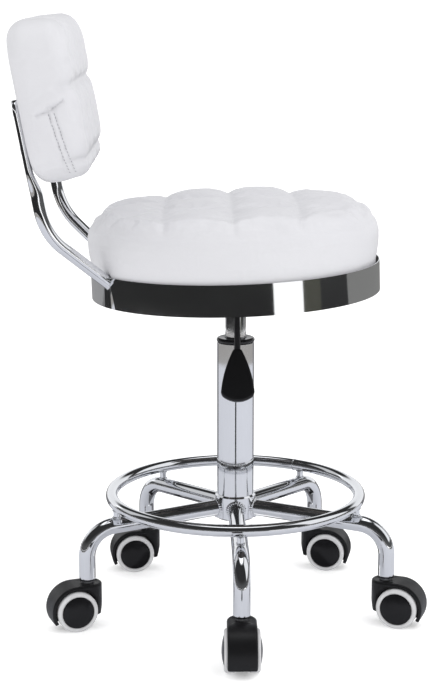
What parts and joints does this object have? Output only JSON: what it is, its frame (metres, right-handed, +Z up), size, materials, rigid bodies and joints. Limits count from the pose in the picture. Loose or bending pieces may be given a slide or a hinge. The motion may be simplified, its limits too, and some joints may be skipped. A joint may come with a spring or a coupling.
{
  "type": "rolling stylist stool",
  "caption": "Height-adjustable swivel stool with a round quilted seat, a small backrest, a foot ring and a wheeled base.",
  "frame": {"origin": "on the column's axis at floor level, where the wheels rest", "axes": "+Z up along the column, +X the way the sitter faces, +Y to the sitter's left"},
  "size_m": [0.5414, 0.4604, 0.8076],
  "materials": {
    "chrome": "polished chrome plate",
    "band_chrome": "mirror bright sheet",
    "zinc_steel": "zinc plated",
    "black_paint": "satin black",
    "black_moulding": "satin moulded",
    "black_gloss": "glossy moulded",
    "black_wheel": "semi-gloss moulded",
    "grey_tread": "matt polyurethane",
    "white_vinyl": "soft white vinyl",
    "plywood": "raw plywood"
  },
  "bodies": {
    "base": {"hub": "chrome", "leg_1": "chrome", "leg_2": "chrome", "leg_3": "chrome", "leg_4": "chrome", "leg_5": "chrome", "leg_sockets": "black_moulding", "foot_ring": "chrome", "ring_studs": "chrome", "stand_tube": "chrome", "guide_bush": "black_gloss", "thrust_bearing": "zinc_steel"},
    "spindle": {"piston_rod": "zinc_steel", "rod_clip": "zinc_steel"},
    "seat": {"gas_cylinder": "chrome", "cone_socket": "black_paint", "seat_plate": "black_paint", "plate_bolts": "zinc_steel", "seat_board": "plywood", "seat_band": "band_chrome", "seat_cushion": "white_vinyl", "back_tube_left": "chrome", "back_tube_right": "chrome", "tube_bolts": "zinc_steel", "backrest_board": "plywood", "backrest_cushion": "white_vinyl", "backrest_screws": "zinc_steel"},
    "release_pin": {"valve_pin": "zinc_steel"},
    "lever": {"lever_rod": "black_paint", "lever_paddle": "black_moulding"},
    "caster_1": {"caster_1_hood": "black_moulding", "caster_1_pins": "zinc_steel"},
    "caster_1_wheel_left": {"caster_1_wheel_left": "black_wheel", "caster_1_tread_left": "grey_tread"},
    "caster_1_wheel_right": {"caster_1_wheel_right": "black_wheel", "caster_1_tread_right": "grey_tread"},
    "caster_2": {"caster_2_hood": "black_moulding", "caster_2_pins": "zinc_steel"},
    "caster_2_wheel_left": {"caster_2_wheel_left": "black_wheel", "caster_2_tread_left": "grey_tread"},
    "caster_2_wheel_right": {"caster_2_wheel_right": "black_wheel", "caster_2_tread_right": "grey_tread"},
    "caster_3": {"caster_3_hood": "black_moulding", "caster_3_pins": "zinc_steel"},
    "caster_3_wheel_left": {"caster_3_wheel_left": "black_wheel", "caster_3_tread_left": "grey_tread"},
    "caster_3_wheel_right": {"caster_3_wheel_right": "black_wheel", "caster_3_tread_right": "grey_tread"},
    "caster_4": {"caster_4_hood": "black_moulding", "caster_4_pins": "zinc_steel"},
    "caster_4_wheel_left": {"caster_4_wheel_left": "black_wheel", "caster_4_tread_left": "grey_tread"},
    "caster_4_wheel_right": {"caster_4_wheel_right": "black_wheel", "caster_4_tread_right": "grey_tread"},
    "caster_5": {"caster_5_hood": "black_moulding", "caster_5_pins": "zinc_steel"},
    "caster_5_wheel_left": {"caster_5_wheel_left": "black_wheel", "caster_5_tread_left": "grey_tread"},
    "caster_5_wheel_right": {"caster_5_wheel_right": "black_wheel", "caster_5_tread_right": "grey_tread"}
  },
  "joints": [
    {"name": "seat_swivel", "type": "hinge", "parent": "base", "child": "spindle", "pos_m": [0, 0, 0.144], "axis": [0, 0, 1], "continuous": true},
    {"name": "seat_lift", "type": "slide", "parent": "spindle", "child": "seat", "axis": [0, 0, 1], "range_m": [-0.028, 0.092]},
    {"name": "lever_pull", "type": "hinge", "parent": "seat", "child": "lever", "pos_m": [0, -0.04075, 0.4568], "axis": [-1, 0, 0], "range_deg": [0, 4], "stiffness_Nm_per_rad": 2, "springref_deg": -4.58},
    {"name": "release_pin_push", "type": "slide", "parent": "seat", "child": "release_pin", "axis": [0, 0, -1], "range_m": [0, 0.0029]},
    {"name": "caster_1_swivel", "type": "hinge", "parent": "base", "child": "caster_1", "pos_m": [0.00295, -0.21098, 0.08], "axis": [0, 0, 1], "continuous": true},
    {"name": "caster_1_left_roll", "type": "hinge", "parent": "caster_1", "child": "caster_1_wheel_left", "pos_m": [0.00295, -0.23048, 0.0275], "axis": [1, 0, 0], "continuous": true},
    {"name": "caster_1_right_roll", "type": "hinge", "parent": "caster_1", "child": "caster_1_wheel_right", "pos_m": [0.00295, -0.23048, 0.0275], "axis": [1, 0, 0], "continuous": true},
    {"name": "caster_2_swivel", "type": "hinge", "parent": "base", "child": "caster_2", "pos_m": [0.20156, -0.06239, 0.08], "axis": [0, 0, 1], "continuous": true},
    {"name": "caster_2_left_roll", "type": "hinge", "parent": "caster_2", "child": "caster_2_wheel_left", "pos_m": [0.21989, -0.06906, 0.0275], "axis": [0.342, 0.9397, 0], "continuous": true},
    {"name": "caster_2_right_roll", "type": "hinge", "parent": "caster_2", "child": "caster_2_wheel_right", "pos_m": [0.21989, -0.06906, 0.0275], "axis": [0.342, 0.9397, 0], "continuous": true},
    {"name": "caster_3_swivel", "type": "hinge", "parent": "base", "child": "caster_3", "pos_m": [0.12163, 0.17242, 0.08], "axis": [0, 0, 1], "continuous": true},
    {"name": "caster_3_left_roll", "type": "hinge", "parent": "caster_3", "child": "caster_3_wheel_left", "pos_m": [0.1407, 0.16836, 0.0275], "axis": [0.2079, 0.9781, 0], "continuous": true},
    {"name": "caster_3_right_roll", "type": "hinge", "parent": "caster_3", "child": "caster_3_wheel_right", "pos_m": [0.1407, 0.16836, 0.0275], "axis": [0.2079, 0.9781, 0], "continuous": true},
    {"name": "caster_4_swivel", "type": "hinge", "parent": "base", "child": "caster_4", "pos_m": [-0.12639, 0.16895, 0.08], "axis": [0, 0, 1], "continuous": true},
    {"name": "caster_4_left_roll", "type": "hinge", "parent": "caster_4", "child": "caster_4_wheel_left", "pos_m": [-0.1457, 0.16624, 0.0275], "axis": [0.1392, -0.9903, 0], "continuous": true},
    {"name": "caster_4_right_roll", "type": "hinge", "parent": "caster_4", "child": "caster_4_wheel_right", "pos_m": [-0.1457, 0.16624, 0.0275], "axis": [0.1392, -0.9903, 0], "continuous": true},
    {"name": "caster_5_swivel", "type": "hinge", "parent": "base", "child": "caster_5", "pos_m": [-0.19974, -0.068, 0.08], "axis": [0, 0, 1], "continuous": true},
    {"name": "caster_5_left_roll", "type": "hinge", "parent": "caster_5", "child": "caster_5_wheel_left", "pos_m": [-0.21807, -0.07467, 0.0275], "axis": [0.342, -0.9397, 0], "continuous": true},
    {"name": "caster_5_right_roll", "type": "hinge", "parent": "caster_5", "child": "caster_5_wheel_right", "pos_m": [-0.21807, -0.07467, 0.0275], "axis": [0.342, -0.9397, 0], "continuous": true}
  ],
  "couplings": [
    {"joint": "release_pin_push", "follows": "lever_pull", "m_per_rad": 0.04075}
  ]
}
